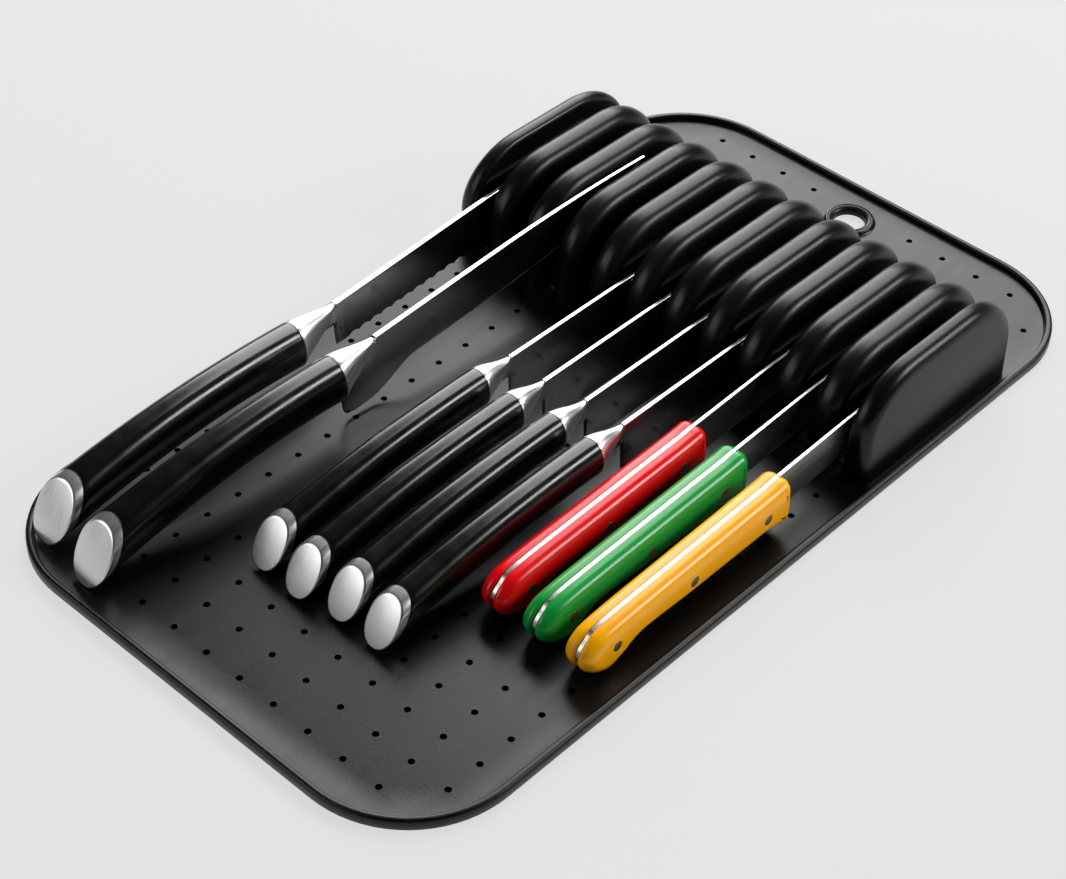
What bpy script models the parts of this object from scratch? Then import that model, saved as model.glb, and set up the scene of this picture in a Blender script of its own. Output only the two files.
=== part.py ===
"""A drawer knife holder: a rimmed rubber mat with a ribbed rubber block, and nine knives in its slots.

Frame: metres, +Z up, origin under the centre of the mat. The knives point along +Y, so their
handles lie over the front (-Y) half of the mat. Every knife is modelled in a frame of its own,
whose origin is where its spine leaves the handle, and is placed by a parent empty.
"""
from math import cos, pi, radians, sin, tan

import bmesh
import bpy
from mathutils import Matrix, Vector

MM = 0.001

# ---------------------------------------------------------------- driving dimensions (metres)
FIT_GAP = 0.3 * MM             # between pieces that touch

MAT_WIDTH = 210.5 * MM
MAT_LENGTH = 369.5 * MM
MAT_THICKNESS = 2.0 * MM
MAT_CORNER_RADIUS = 43 * MM
RIM_WIDTH = 2.8 * MM
RIM_RISE = 2.6 * MM            # above the mat's top
RIM_ROUNDING = 1.0 * MM
CORNER_STEPS = 9

EYELET_HOLE_RADIUS = 6.6 * MM
EYELET_COLLAR_RADIUS = 1.7 * MM
EYELET_COLLAR_LIFT = 0.3 * MM  # of the collar's middle above the mat's top
EYELET_X = 2.0 * MM
EYELET_FROM_BACK = 20 * MM     # hole centre to the mat's back edge

SLOT_COUNT = 11
SLOT_TOP_WIDTH = 6.2 * MM
SLOT_BASE_WIDTH = 4.8 * MM
END_RIB_TOP_THICKNESS = 7.8 * MM
END_RIB_BASE_THICKNESS = 10.1 * MM
END_SLOT_INSET = 17.75 * MM    # from the middle of each end slot to the mat's long edge
RIB_PITCH = (MAT_WIDTH - 2 * END_SLOT_INSET) / (SLOT_COUNT - 1)
RIB_TOP_THICKNESS = RIB_PITCH - SLOT_TOP_WIDTH
RIB_BASE_THICKNESS = RIB_PITCH - SLOT_BASE_WIDTH
RIB_DEPTH = 89.5 * MM          # front foot to rear foot
RIB_HEIGHT = 41 * MM           # above the mat
RIB_FRONT_FROM_CENTRE = 44 * MM
RIB_FRONT_ROUND = (28 * MM, 23 * MM)
RIB_REAR_ROUND = (29.5 * MM, 25 * MM)
RIB_CREST_ROUNDING = 5.2 * MM
END_RIB_INNER_ROUNDING = 2.6 * MM
END_RIB_OUTER_ROUNDING = 4.9 * MM
RIB_ROUND_STEPS = 6
WEB_THICKNESS = 1.0 * MM
WEB_MARGIN = 1.0 * MM

# a forged knife: blade with a hidden tang, bolster, grip and end cap
BUTT_SLANT = radians(33)       # of the end cap's oval face
BOLSTER_LIP = 0.7 * MM         # how far the bolster's front stands out on each side of the spine
BOLSTER_SHOULDER = 0.1 * MM    # of the bolster's top below the spine
BOLSTER_SWELL = 1.35           # power that its height and width grow by, from front to seam
TANG_REACH = 1.0 * MM          # of the tang into the blade's root
TANG_SIDE_INSET = 0.02 * MM    # keeps the tang's sides just inside the blade's
CAP_EDGE = 0.5 * MM            # bevel round the cap's face
BOLSTER_SETBACK = 1.2 * MM      # of the bolster's front behind the blade's root
BOLSTER_FRONT_POWER, OVAL_POWER = 3.2, 2.3
BOLSTER_STEPS, GRIP_STEPS = 5, 8
CUTTER_REACH = 5 * MM          # of a cutter beyond what it cuts
HEEL_CORNER = 3 * MM
LARGE = dict(handle_length=134 * MM, bolster_length=21.5 * MM, cap_length=4.6 * MM,
             seam_height=19 * MM, seam_width=14 * MM, butt_height=20.4 * MM, butt_width=17.2 * MM,
             seam_rise=3.1 * MM, butt_rise=2.6 * MM, arch=3.3 * MM, waist=1.0 * MM,
             front_height=10 * MM, tang_height=5.4 * MM, tang_drop=4.2 * MM, spine=2.4 * MM)
MEDIUM = LARGE | dict(handle_length=129.4 * MM, bolster_length=20 * MM, butt_rise=0.9 * MM)
SMALL = dict(handle_length=115.3 * MM, bolster_length=16.4 * MM, cap_length=4.3 * MM,
             seam_height=15.5 * MM, seam_width=11.6 * MM, butt_height=16.8 * MM, butt_width=13.8 * MM,
             seam_rise=3.4 * MM, butt_rise=-3.4 * MM, arch=1.9 * MM, waist=0.6 * MM,
             front_height=8.5 * MM, tang_height=4.4 * MM, tang_drop=3.6 * MM, spine=1.8 * MM)

# blades: a tip is (share of the length where it starts, fall of the spine and rise of the edge as
# shares of the height, and the powers of their curves)
ROUND_TIP = (0.86, 0.62, 2.2, 0.0, 1.0)
POINT_TIP = (0.45, 0.20, 2.0, 0.78, 2.4)
SPINE_TAPER = 0.55             # of the spine's thickness, lost from heel to tip
GRIND_START = 0.35             # share of the blade's height above its flat grind
EDGE_HALF = 0.12 * MM          # half the thickness of the cutting edge
LEAST_DEPTH = 0.4 * MM
STATION_EASE = 0.35            # crowds the sections towards heel and tip

BREAD_BLADE = dict(length=163 * MM, height=20.3 * MM, widening=2.0 * MM, tip=ROUND_TIP, heel_drop=0.0)
BONING_BLADE = dict(length=143 * MM, height=20.5 * MM, widening=0.0, tip=POINT_TIP, heel_drop=7.4 * MM,
                    heel_back=17.5 * MM, heel_length=13 * MM, heel_sweep=24 * MM)
UTILITY_BLADE = dict(length=119 * MM, height=22 * MM, widening=0.0, tip=POINT_TIP, heel_drop=0.0)

# where each forged knife lies: slot, style, blade, start of its spine (y, height above the mat),
# shift to the side of its slot as a share of the slot's width, yaw and nose-up angle
FORGED_KNIVES = (
    ("bread_knife", 1, LARGE, BREAD_BLADE, -34 * MM, 23.0 * MM, 0.5, radians(-1.2), radians(2.0)),
    ("boning_knife", 3, MEDIUM, BONING_BLADE, -43 * MM, 30.0 * MM, -0.542, radians(0.75), radians(4.3)),
    ("steak_knife_1", 5, SMALL, UTILITY_BLADE, -11.3 * MM, 24.0 * MM, -0.104, radians(0.9), radians(1.1)),
    ("steak_knife_2", 6, SMALL, UTILITY_BLADE, -12.3 * MM, 24.0 * MM, -0.104, radians(0.9), radians(1.1)),
    ("steak_knife_3", 7, SMALL, UTILITY_BLADE, -9.6 * MM, 24.0 * MM, -0.104, radians(0.9), radians(1.1)),
    ("steak_knife_4", 8, SMALL, UTILITY_BLADE, -9.9 * MM, 24.0 * MM, -0.104, radians(0.9), radians(1.1)),
)

# a paring knife: blade with a full tang, two handle scales and three rivets
PARING_HANDLE_LENGTH = 103.5 * MM
PARING_HANDLE_WIDTH = 12.6 * MM
PARING_TANG_THICKNESS = 1.6 * MM
PARING_TANG_INSET = 0.25 * MM
PARING_SCALE_ROUNDING = 4.6 * MM
PARING_BLADE = dict(length=84 * MM, height=17 * MM, widening=0.0, tip=POINT_TIP, heel_drop=0.0)
PARING_SPINE_INSET = 0.04 * MM  # of the blade's thickness below the tang's
RIVET_RADIUS = 2.5 * MM
RIVET_AT = (0.12, 0.49, 0.86)  # of the handle's length, from its front
RIVET_DROP = 8.2 * MM          # below the handle's top
RIVET_SINK = 0.1 * MM          # of each rivet's ends below the scales' faces

# where each paring knife lies, and the colour of its handle
PARING_KNIVES = (
    ("red_paring_knife", 9, 8.0 * MM, 22.9 * MM, -0.208, 0.0, radians(2.4), (0.80, 0.010, 0.016)),
    ("green_paring_knife", 10, 8.5 * MM, 22.9 * MM, -0.0625, 0.0, radians(2.4), (0.008, 0.35, 0.055)),
    ("yellow_paring_knife", 11, 8.5 * MM, 22.9 * MM, 0.208, 0.0, radians(2.4), (1.0, 0.52, 0.003)),
)

RUBBER = ("black_rubber", (0.012, 0.012, 0.013), 0.45, 0.0)
STEEL = ("blade_steel", (0.60, 0.60, 0.61), 0.25, 1.0)
SATIN_STEEL = ("satin_steel", (0.66, 0.66, 0.66), 0.35, 1.0)
GRIP_PLASTIC = ("black_grip_plastic", (0.010, 0.010, 0.011), 0.22, 0.0)
RIVET_METAL = ("rivet_metal", (0.33, 0.29, 0.22), 0.40, 1.0)


# ---------------------------------------------------------------- scene, collections, materials
def clear_scene():
    for old in list(bpy.data.objects):
        bpy.data.objects.remove(old, do_unlink=True)


def new_collection(name):
    collection = bpy.data.collections.new(name)
    bpy.context.scene.collection.children.link(collection)
    return collection


def material(name, colour, roughness, metallic):
    found = bpy.data.materials.get(name)
    if found:
        return found
    made = bpy.data.materials.new(name)
    made.use_nodes = True
    shader = made.node_tree.nodes["Principled BSDF"]
    shader.inputs["Base Color"].default_value = (*colour, 1.0)
    shader.inputs["Roughness"].default_value = roughness
    shader.inputs["Metallic"].default_value = metallic
    return made


def new_object(name, mesh, finish=None, parent=None, collection=None):
    obj = bpy.data.objects.new(name, mesh)
    (collection or PARTS).objects.link(obj)
    if finish:
        mesh.materials.append(material(*finish))
    obj.parent = parent
    return obj


def from_bmesh(bm, name):
    bmesh.ops.recalc_face_normals(bm, faces=bm.faces)
    mesh = bpy.data.meshes.new(name)
    bm.to_mesh(mesh)
    bm.free()
    return mesh


def shade(mesh, angle=40):
    mesh.shade_smooth()
    mesh.set_sharp_from_angle(angle=radians(angle))


def add_boolean(obj, other, operation):
    step = obj.modifiers.new(operation.title(), "BOOLEAN")
    step.operation = operation
    step.object = other
    step.solver = "EXACT"


def cut(obj, cutter):
    add_boolean(obj, cutter, "DIFFERENCE")


def as_cutter(obj):
    obj.hide_render = True
    obj.display_type = "WIRE"
    return obj


# ---------------------------------------------------------------- shape helpers
def box_mesh(name, low, high):
    bm = bmesh.new()
    bmesh.ops.create_cube(bm, size=1.0)
    low, high = Vector(low), Vector(high)
    size = high - low
    for vert in bm.verts:
        vert.co = low + Vector((vert.co[axis] + 0.5) * size[axis] for axis in range(3))
    return from_bmesh(bm, name)


def rod_mesh(name, radius, length, at, sides=16):
    """A round bar along X, centred on the point at."""
    bm = bmesh.new()
    turn = Matrix.Translation(at) @ Matrix.Rotation(pi / 2, 4, "Y")
    bmesh.ops.create_cone(bm, cap_ends=True, segments=sides, radius1=radius, radius2=radius,
                          depth=length, matrix=turn)
    return from_bmesh(bm, name)


def plate_mesh(name, outline, x_low, x_high):
    """A flat outline of (y, z) points given a thickness along X."""
    bm = bmesh.new()
    face = bm.faces.new([bm.verts.new((x_low, y, z)) for y, z in outline])
    moved = bmesh.ops.extrude_face_region(bm, geom=[face])["geom"]
    far = [item for item in moved if isinstance(item, bmesh.types.BMVert)]
    bmesh.ops.translate(bm, verts=far, vec=(x_high - x_low, 0, 0))
    return from_bmesh(bm, name)


def loft_mesh(name, rings):
    """A closed skin through rings that have the same number of points."""
    bm = bmesh.new()
    rows = [[bm.verts.new(point) for point in ring] for ring in rings]
    count = len(rows[0])
    for near, far in zip(rows, rows[1:]):
        for k in range(count):
            after = (k + 1) % count
            bm.faces.new((near[k], near[after], far[after], far[k]))
    bm.faces.new(rows[0])
    bm.faces.new(rows[-1])
    return from_bmesh(bm, name)


def oval_ring(y, top, height, width, slant=0.0, power=OVAL_POWER, count=16):
    """A superellipse across the handle; slant leans it so that its top lies further forward."""
    ring = []
    for k in range(count):
        angle = 2 * pi * (k + 0.5) / count
        across, up = cos(angle), sin(angle)
        x = width / 2 * abs(across) ** (2 / power) * (1 if across > 0 else -1)
        z = height / 2 * abs(up) ** (2 / power) * (1 if up > 0 else -1)
        ring.append((x, y + z * tan(slant), top - height / 2 + z))
    return ring


def smooth_outline(points, steps):
    """A closed Catmull-Rom curve through the points."""
    count = len(points)
    outline = []
    for k in range(count):
        before, start, end, after = (Vector(points[(k + j) % count]) for j in (-1, 0, 1, 2))
        for step in range(steps):
            t = step / steps
            bend = 2 * before - 5 * start + 4 * end - after
            twist = -before + 3 * start - 3 * end + after
            outline.append(tuple(0.5 * (2 * start + (end - before) * t + bend * t ** 2 + twist * t ** 3)))
    return outline


def blend(start, end, t):
    return start + (end - start) * t


def ease(t):
    return t * t * (3 - 2 * t)


# ---------------------------------------------------------------- mat
def rounded_rectangle(width, length, radius):
    """Corner centres and quarter arcs, anticlockwise."""
    outline = []
    for corner, (side_x, side_y) in enumerate(((1, 1), (-1, 1), (-1, -1), (1, -1))):
        centre = Vector((side_x * (width / 2 - radius), side_y * (length / 2 - radius)))
        for step in range(CORNER_STEPS + 1):
            angle = pi / 2 * (corner + step / CORNER_STEPS)
            outline.append(centre + radius * Vector((cos(angle), sin(angle))))
    return outline


def slab_curve(name, width, length, radius, low, high, rounding=0.0):
    """A rounded rectangle as a filled 2D curve, from z = low to z = high, turned into a mesh."""
    curve = bpy.data.curves.new(name, "CURVE")
    curve.dimensions = "2D"
    curve.fill_mode = "BOTH"
    curve.extrude = (high - low) / 2 - rounding
    curve.bevel_depth = rounding
    curve.bevel_resolution = 1
    curve.offset = -rounding
    outline = rounded_rectangle(width, length, radius)
    spline = curve.splines.new("POLY")
    spline.points.add(len(outline) - 1)
    for point, (x, y) in zip(spline.points, outline):
        point.co = (x, y, 0, 1)
    spline.use_cyclic_u = True
    drawn = bpy.data.objects.new(name, curve)
    PARTS.objects.link(drawn)
    mesh = bpy.data.meshes.new_from_object(drawn.evaluated_get(bpy.context.evaluated_depsgraph_get()))
    bpy.data.objects.remove(drawn)
    bm = bmesh.new()
    bm.from_mesh(mesh)
    bmesh.ops.remove_doubles(bm, verts=bm.verts, dist=1e-5)
    bmesh.ops.translate(bm, verts=bm.verts, vec=(0, 0, (low + high) / 2))
    return from_bmesh(bm, name)


def collar_mesh(name, middle_radius, tube_radius, centre):
    """The eyelet's raised ring."""
    bpy.ops.mesh.primitive_torus_add(location=centre, major_radius=middle_radius, minor_radius=tube_radius,
                                     major_segments=28, minor_segments=8)
    ring = bpy.context.object
    mesh = ring.data
    mesh.transform(ring.matrix_world)
    bpy.data.objects.remove(ring)
    mesh.name = name
    return mesh


def build_mat():
    rim_top = MAT_THICKNESS + RIM_RISE
    mat = new_object("mat", slab_curve("mat", MAT_WIDTH, MAT_LENGTH, MAT_CORNER_RADIUS,
                                       0, rim_top, RIM_ROUNDING), RUBBER)
    inside = slab_curve("mat_inside", MAT_WIDTH - 2 * RIM_WIDTH, MAT_LENGTH - 2 * RIM_WIDTH,
                        MAT_CORNER_RADIUS - RIM_WIDTH, MAT_THICKNESS, 2 * rim_top)
    cut(mat, as_cutter(new_object("mat_inside", inside, collection=CUTTERS)))
    centre = Vector((EYELET_X, MAT_LENGTH / 2 - EYELET_FROM_BACK, MAT_THICKNESS + EYELET_COLLAR_LIFT))
    middle_radius = EYELET_HOLE_RADIUS + EYELET_COLLAR_RADIUS
    bm = bmesh.new()
    bmesh.ops.create_cone(bm, cap_ends=True, segments=28, radius1=middle_radius, radius2=middle_radius,
                          depth=4 * rim_top, matrix=Matrix.Translation(centre))
    cut(mat, as_cutter(new_object("eyelet_hole", from_bmesh(bm, "eyelet_hole"), collection=CUTTERS)))
    ring = collar_mesh("eyelet_collar", middle_radius, EYELET_COLLAR_RADIUS, centre)
    add_boolean(mat, as_cutter(new_object("eyelet_collar", ring, collection=CUTTERS)), "UNION")
    shade(mat.data)
    return mat


# ---------------------------------------------------------------- rib block
def rib_outline(foot):
    """Side view of a rib: an upright front and rear foot, and elliptic shoulders that meet a flat crown."""
    front, rear = RIB_FRONT_FROM_CENTRE, RIB_FRONT_FROM_CENTRE + RIB_DEPTH
    crown = MAT_THICKNESS + RIB_HEIGHT
    outline = [(front, foot)]
    across, down = RIB_FRONT_ROUND
    for step in range(RIB_ROUND_STEPS + 1):
        angle = pi / 2 * step / RIB_ROUND_STEPS
        outline.append((front + across * (1 - cos(angle)), crown - down * (1 - sin(angle))))
    across, down = RIB_REAR_ROUND
    for step in range(RIB_ROUND_STEPS + 1):
        angle = pi / 2 * step / RIB_ROUND_STEPS
        outline.append((rear - across * (1 - sin(angle)), crown - down * (1 - cos(angle))))
    outline.append((rear, foot))
    return outline


def rib_bmesh(left, right):
    """One rib with drafted sides, each given by its x at the base and at the top and its crest rounding."""
    foot, crown = MAT_THICKNESS + FIT_GAP, MAT_THICKNESS + RIB_HEIGHT
    outline = rib_outline(foot)
    bm = bmesh.new()
    weight = bm.edges.layers.float.new("bevel_weight_edge")
    sides = []
    for base, top, rounding in (left, right):
        ring = [bm.verts.new((blend(base, top, (z - foot) / (crown - foot)), y, z)) for y, z in outline]
        bm.faces.new(ring)
        sides.append(ring)
        for near, far in zip(ring, ring[1:]):
            bm.edges.get((near, far))[weight] = rounding / RIB_CREST_ROUNDING
    for k in range(len(outline)):
        after = (k + 1) % len(outline)
        bm.faces.new((sides[0][k], sides[0][after], sides[1][after], sides[1][k]))
    return bm


def build_rib_block():
    mesh = bpy.data.meshes.new("rib_block")
    joined = bmesh.new()
    for rib in range(SLOT_COUNT + 1):
        middle = (rib - SLOT_COUNT / 2) * RIB_PITCH
        base, top = RIB_BASE_THICKNESS / 2, RIB_TOP_THICKNESS / 2
        left = [middle - base, middle - top, RIB_CREST_ROUNDING]
        right = [middle + base, middle + top, RIB_CREST_ROUNDING]
        if rib == 0:
            left = [right[0] - END_RIB_BASE_THICKNESS, right[1] - END_RIB_TOP_THICKNESS, END_RIB_OUTER_ROUNDING]
            right[2] = END_RIB_INNER_ROUNDING
        if rib == SLOT_COUNT:
            right = [left[0] + END_RIB_BASE_THICKNESS, left[1] + END_RIB_TOP_THICKNESS, END_RIB_OUTER_ROUNDING]
            left[2] = END_RIB_INNER_ROUNDING
        one = from_bmesh(rib_bmesh(left, right), "rib")
        joined.from_mesh(one)
        bpy.data.meshes.remove(one)
    joined.to_mesh(mesh)
    joined.free()
    block = new_object("rib_block", mesh, RUBBER)
    rounding = block.modifiers.new("Crest rounding", "BEVEL")
    rounding.limit_method = "WEIGHT"
    rounding.width = RIB_CREST_ROUNDING
    rounding.segments = 3
    rounding.use_clamp_overlap = True
    half_width = SLOT_COUNT / 2 * RIB_PITCH - RIB_BASE_THICKNESS / 2 + END_RIB_BASE_THICKNESS + WEB_MARGIN
    web = box_mesh("web", (-half_width, RIB_FRONT_FROM_CENTRE - WEB_MARGIN, MAT_THICKNESS + FIT_GAP),
                   (half_width, RIB_FRONT_FROM_CENTRE + RIB_DEPTH + WEB_MARGIN,
                    MAT_THICKNESS + FIT_GAP + WEB_THICKNESS))
    add_boolean(block, as_cutter(new_object("web", web, collection=CUTTERS)), "UNION")
    shade(block.data)
    return block


# ---------------------------------------------------------------- forged knives
def knife_frame(name, slot, start_y, start_z, side_shift, yaw, nose_up):
    """The empty that carries a knife: origin at the start of its spine, +Y along the blade."""
    frame = bpy.data.objects.new(name + "_frame", None)
    PARTS.objects.link(frame)
    slot_x = (slot - (SLOT_COUNT + 1) / 2) * RIB_PITCH
    x = slot_x + side_shift * SLOT_BASE_WIDTH
    frame.matrix_world = (Matrix.Translation((x, start_y, MAT_THICKNESS + start_z))
                          @ Matrix.Rotation(-yaw, 4, "Z") @ Matrix.Rotation(nose_up, 4, "X"))
    return frame


def blade_rings(blade, spine, stations=14):
    """Wedge sections from the heel to the tip: spine faces, flat grind and a fine edge."""
    tip_start, spine_fall, spine_power, edge_rise, edge_power = blade["tip"]
    rings = []
    for k in range(stations + 1):
        t = blend(k / stations, ease(k / stations), STATION_EASE)
        y = blade["length"] * t
        top = blade["widening"] * t
        bottom = -blade["height"]
        if blade["heel_drop"]:
            free = (y - blade["heel_length"] + blade["heel_back"]) / blade["heel_sweep"]
            bottom -= blade["heel_drop"] * (1 - ease(min(1.0, max(0.0, free))))
        near_tip = max(0.0, (t - tip_start) / (1 - tip_start))
        top -= (blade["height"] + blade["widening"]) * spine_fall * near_tip ** spine_power
        bottom += blade["height"] * edge_rise * near_tip ** edge_power
        half = spine / 2 * (1 - SPINE_TAPER * t)
        depth = max(top - bottom, LEAST_DEPTH)
        grind = top - GRIND_START * depth
        rings.append([(half, y, top), (half, y, grind), (EDGE_HALF, y, top - depth),
                      (-EDGE_HALF, y, top - depth), (-half, y, grind), (-half, y, top)])
    return rings


def handle_line(style, t):
    """Top of the handle, its height and its width, from the bolster's seam (0) to the butt (1)."""
    bow = 4 * t * (1 - t)
    top = blend(style["seam_rise"], style["butt_rise"], t) + style["arch"] * bow
    height = blend(style["seam_height"], style["butt_height"], t) - style["waist"] * bow
    width = blend(style["seam_width"], style["butt_width"], t) - style["waist"] * bow
    return top, height, width


def tang_outline(style, blade, grow=0.0):
    """Side view of the tang, or with grow of its room. It stops a third of the way into the cap, cut
    parallel to the cap's face; under a blade with a dropped heel it carries the heel back as well."""
    top = -style["tang_drop"] + grow
    bottom = -style["tang_drop"] - style["tang_height"] - grow
    cap_middle = style["butt_rise"] - style["butt_height"] / 2
    stop = -style["handle_length"] + style["cap_length"] * 2 / 3 - grow
    ends = [(stop + (z - cap_middle) * tan(BUTT_SLANT), z) for z in (bottom, top)]
    if grow:
        return [ends[0], (CUTTER_REACH, bottom), (CUTTER_REACH, top), ends[1]]
    if not blade["heel_drop"]:
        return [ends[0], (TANG_REACH, bottom), (TANG_REACH, top), ends[1]]
    back, deep, root = -blade["heel_back"], -blade["height"] - blade["heel_drop"], TANG_REACH / 5
    return [ends[0], (back, bottom), (back, deep + HEEL_CORNER), (back + HEEL_CORNER, deep),
            (root, deep), (root, top), ends[1]]


def build_forged_knife(name, slot, style, blade, start_y, start_z, side_shift, yaw, nose_up):
    frame = knife_frame(name, slot, start_y, start_z, side_shift, yaw, nose_up)
    seam = -style["bolster_length"]
    face = -style["handle_length"]
    cap_seam = face + style["cap_length"]
    half_tang = style["spine"] / 2

    def handle_ring(y, slant):
        return oval_ring(y, *handle_line(style, (seam - y) / (seam - face)), slant=slant)

    def cutter(suffix, mesh):
        return as_cutter(new_object(name + suffix, mesh, parent=frame, collection=CUTTERS))

    # blade, heel and hidden tang are one forging
    steel = new_object(name + "_blade", loft_mesh(name + "_blade", blade_rings(blade, style["spine"])),
                       STEEL, frame)
    side = half_tang - TANG_SIDE_INSET
    tang = plate_mesh(name + "_tang", tang_outline(style, blade), -side, side)
    add_boolean(steel, cutter("_tang", tang), "UNION")
    shade(steel.data, 20)

    # clearance for the tang through bolster, grip and cap
    room = plate_mesh(name + "_tang_room", tang_outline(style, blade, FIT_GAP),
                      -half_tang - FIT_GAP, half_tang + FIT_GAP)
    tang_room = cutter("_tang_room", room)

    # bolster: tapers from the oval seam into the spine
    front_width = style["spine"] + 2 * BOLSTER_LIP
    _, seam_height, seam_width = handle_line(style, 0)
    bolster_rings = []
    for k in range(BOLSTER_STEPS + 1):
        t = k / BOLSTER_STEPS
        swell = t ** BOLSTER_SWELL
        bolster_rings.append(oval_ring(blend(-BOLSTER_SETBACK, seam + FIT_GAP / 2, t),
                                       style["seam_rise"] * ease(t) - BOLSTER_SHOULDER,
                                       blend(style["front_height"], seam_height, swell),
                                       blend(front_width, seam_width, swell),
                                       power=blend(BOLSTER_FRONT_POWER, OVAL_POWER, t)))
    bolster = new_object(name + "_bolster", loft_mesh(name + "_bolster", bolster_rings), SATIN_STEEL, frame)
    cut(bolster, tang_room)
    if blade["heel_drop"]:
        heel_room = box_mesh(name + "_heel_room",
                             (-half_tang - FIT_GAP, -blade["heel_back"] - FIT_GAP,
                              -blade["height"] - blade["heel_drop"]),
                             (half_tang + FIT_GAP, CUTTER_REACH,
                              -style["tang_drop"] - style["tang_height"] + FIT_GAP))
        cut(bolster, cutter("_heel_room", heel_room))
    shade(bolster.data)

    # grip: square at the bolster, leaning more and more towards the slanted cap
    grip_rings = [handle_ring(seam - FIT_GAP / 2, 0.0)]
    for k in range(1, GRIP_STEPS):
        t = k / GRIP_STEPS
        grip_rings.append(handle_ring(blend(seam, cap_seam, t), BUTT_SLANT * ease(max(0.0, 2 * t - 1))))
    grip_rings.append(handle_ring(cap_seam + FIT_GAP, BUTT_SLANT))
    grip = new_object(name + "_grip", loft_mesh(name + "_grip", grip_rings), GRIP_PLASTIC, frame)
    cut(grip, tang_room)
    shade(grip.data)

    # end cap, with a bevelled oval face
    top, height, width = handle_line(style, 1.0)
    cap_rings = [handle_ring(cap_seam, BUTT_SLANT), handle_ring(face + CAP_EDGE, BUTT_SLANT),
                 oval_ring(face, top - CAP_EDGE, height - 2 * CAP_EDGE, width - 2 * CAP_EDGE,
                           slant=BUTT_SLANT)]
    cap = new_object(name + "_end_cap", loft_mesh(name + "_end_cap", cap_rings), SATIN_STEEL, frame)
    cut(cap, tang_room)
    shade(cap.data)


# ---------------------------------------------------------------- paring knives
# side view of a paring handle: share of its length and height in millimetres, from the front top
# back to the dropped butt and along the belly
PARING_SHAPE = ((0.0, -0.3), (-0.10, 0.0), (-0.50, 0.2), (-0.86, 0.0), (-0.955, -2.3), (-0.995, -8.0),
                (-0.965, -14.6), (-0.895, -18.4), (-0.815, -16.6), (-0.73, -13.6), (-0.50, -15.0),
                (-0.25, -15.9), (-0.10, -16.6), (-0.02, -18.6), (0.012, -16.0), (0.020, -8.0))
PARING_MIDDLE = (-0.5 * PARING_HANDLE_LENGTH, -8.5 * MM)


def paring_outline(inset=0.0):
    """The handle's outline, drawn in towards its middle by the inset."""
    middle_y, middle_z = PARING_MIDDLE
    points = []
    for along, height in PARING_SHAPE:
        y, z = along * PARING_HANDLE_LENGTH, height * MM
        points.append((middle_y + (y - middle_y) * (1 + inset / middle_y),
                       middle_z + (z - middle_z) * (1 + inset / middle_z)))
    return smooth_outline(points, 2)


def build_paring_knife(name, slot, start_y, start_z, side_shift, yaw, nose_up, colour):
    frame = knife_frame(name, slot, start_y, start_z, side_shift, yaw, nose_up)
    half_tang = PARING_TANG_THICKNESS / 2
    half_width = PARING_HANDLE_WIDTH / 2
    rivet_places = [(-share * PARING_HANDLE_LENGTH, -RIVET_DROP) for share in RIVET_AT]

    rings = blade_rings(PARING_BLADE, PARING_TANG_THICKNESS - PARING_SPINE_INSET, 10)
    blade = new_object(name + "_blade", loft_mesh(name + "_blade", rings), STEEL, frame)
    tang = plate_mesh(name + "_tang", paring_outline(PARING_TANG_INSET), -half_tang, half_tang)
    add_boolean(blade, as_cutter(new_object(name + "_tang", tang, parent=frame, collection=CUTTERS)), "UNION")

    holes = []
    for number, (y, z) in enumerate(rivet_places, 1):
        hole = rod_mesh(name + "_rivet_hole", RIVET_RADIUS + FIT_GAP, 2 * PARING_HANDLE_WIDTH, (0, y, z))
        holes.append(as_cutter(new_object(f"{name}_rivet_hole_{number}", hole, parent=frame,
                                          collection=CUTTERS)))
        rivet = rod_mesh(name + "_rivet", RIVET_RADIUS, PARING_HANDLE_WIDTH - 2 * RIVET_SINK, (0, y, z))
        shade(rivet)
        new_object(f"{name}_rivet_{number}", rivet, RIVET_METAL, frame)

    finish = (name.split("_")[0] + "_handle_plastic", colour, 0.25, 0.0)
    for side, low, high in (("left", -half_width, -half_tang - FIT_GAP), ("right", half_tang + FIT_GAP, half_width)):
        scale = new_object(f"{name}_{side}_scale", plate_mesh(name + "_scale", paring_outline(), low, high),
                           finish, frame)
        outer = low if side == "left" else high
        weights = scale.data.attributes.new("bevel_weight_edge", "FLOAT", "EDGE")
        for edge in scale.data.edges:
            ends = [scale.data.vertices[index].co.x for index in edge.vertices]
            on_outer_face = all(abs(x - outer) < 1e-6 for x in ends)
            weights.data[edge.index].value = 1.0 if on_outer_face else 0.0
        rounding = scale.modifiers.new("Outer rounding", "BEVEL")
        rounding.limit_method = "WEIGHT"
        rounding.width = PARING_SCALE_ROUNDING
        rounding.segments = 2
        for hole in holes:
            cut(scale, hole)
        shade(scale.data)
    for hole in holes:
        cut(blade, hole)
    shade(blade.data, 20)


clear_scene()
PARTS = new_collection("knife_mat_with_knives")
CUTTERS = new_collection("cutters")
build_mat()
build_rib_block()
for knife in FORGED_KNIVES:
    build_forged_knife(*knife)
for knife in PARING_KNIVES:
    build_paring_knife(*knife)
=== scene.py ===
"""Looks for a drawer knife holder: a rimmed rubber mat with a ribbed rubber block, and nine knives.

Lengths are written in millimetres and turned to metres by MM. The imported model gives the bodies;
each fine piece is built in the same frame, with its place in its mesh.
"""

from math import cos, pi, radians, sin, tan

import bmesh
import bpy
from mathutils import Matrix, Vector


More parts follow.
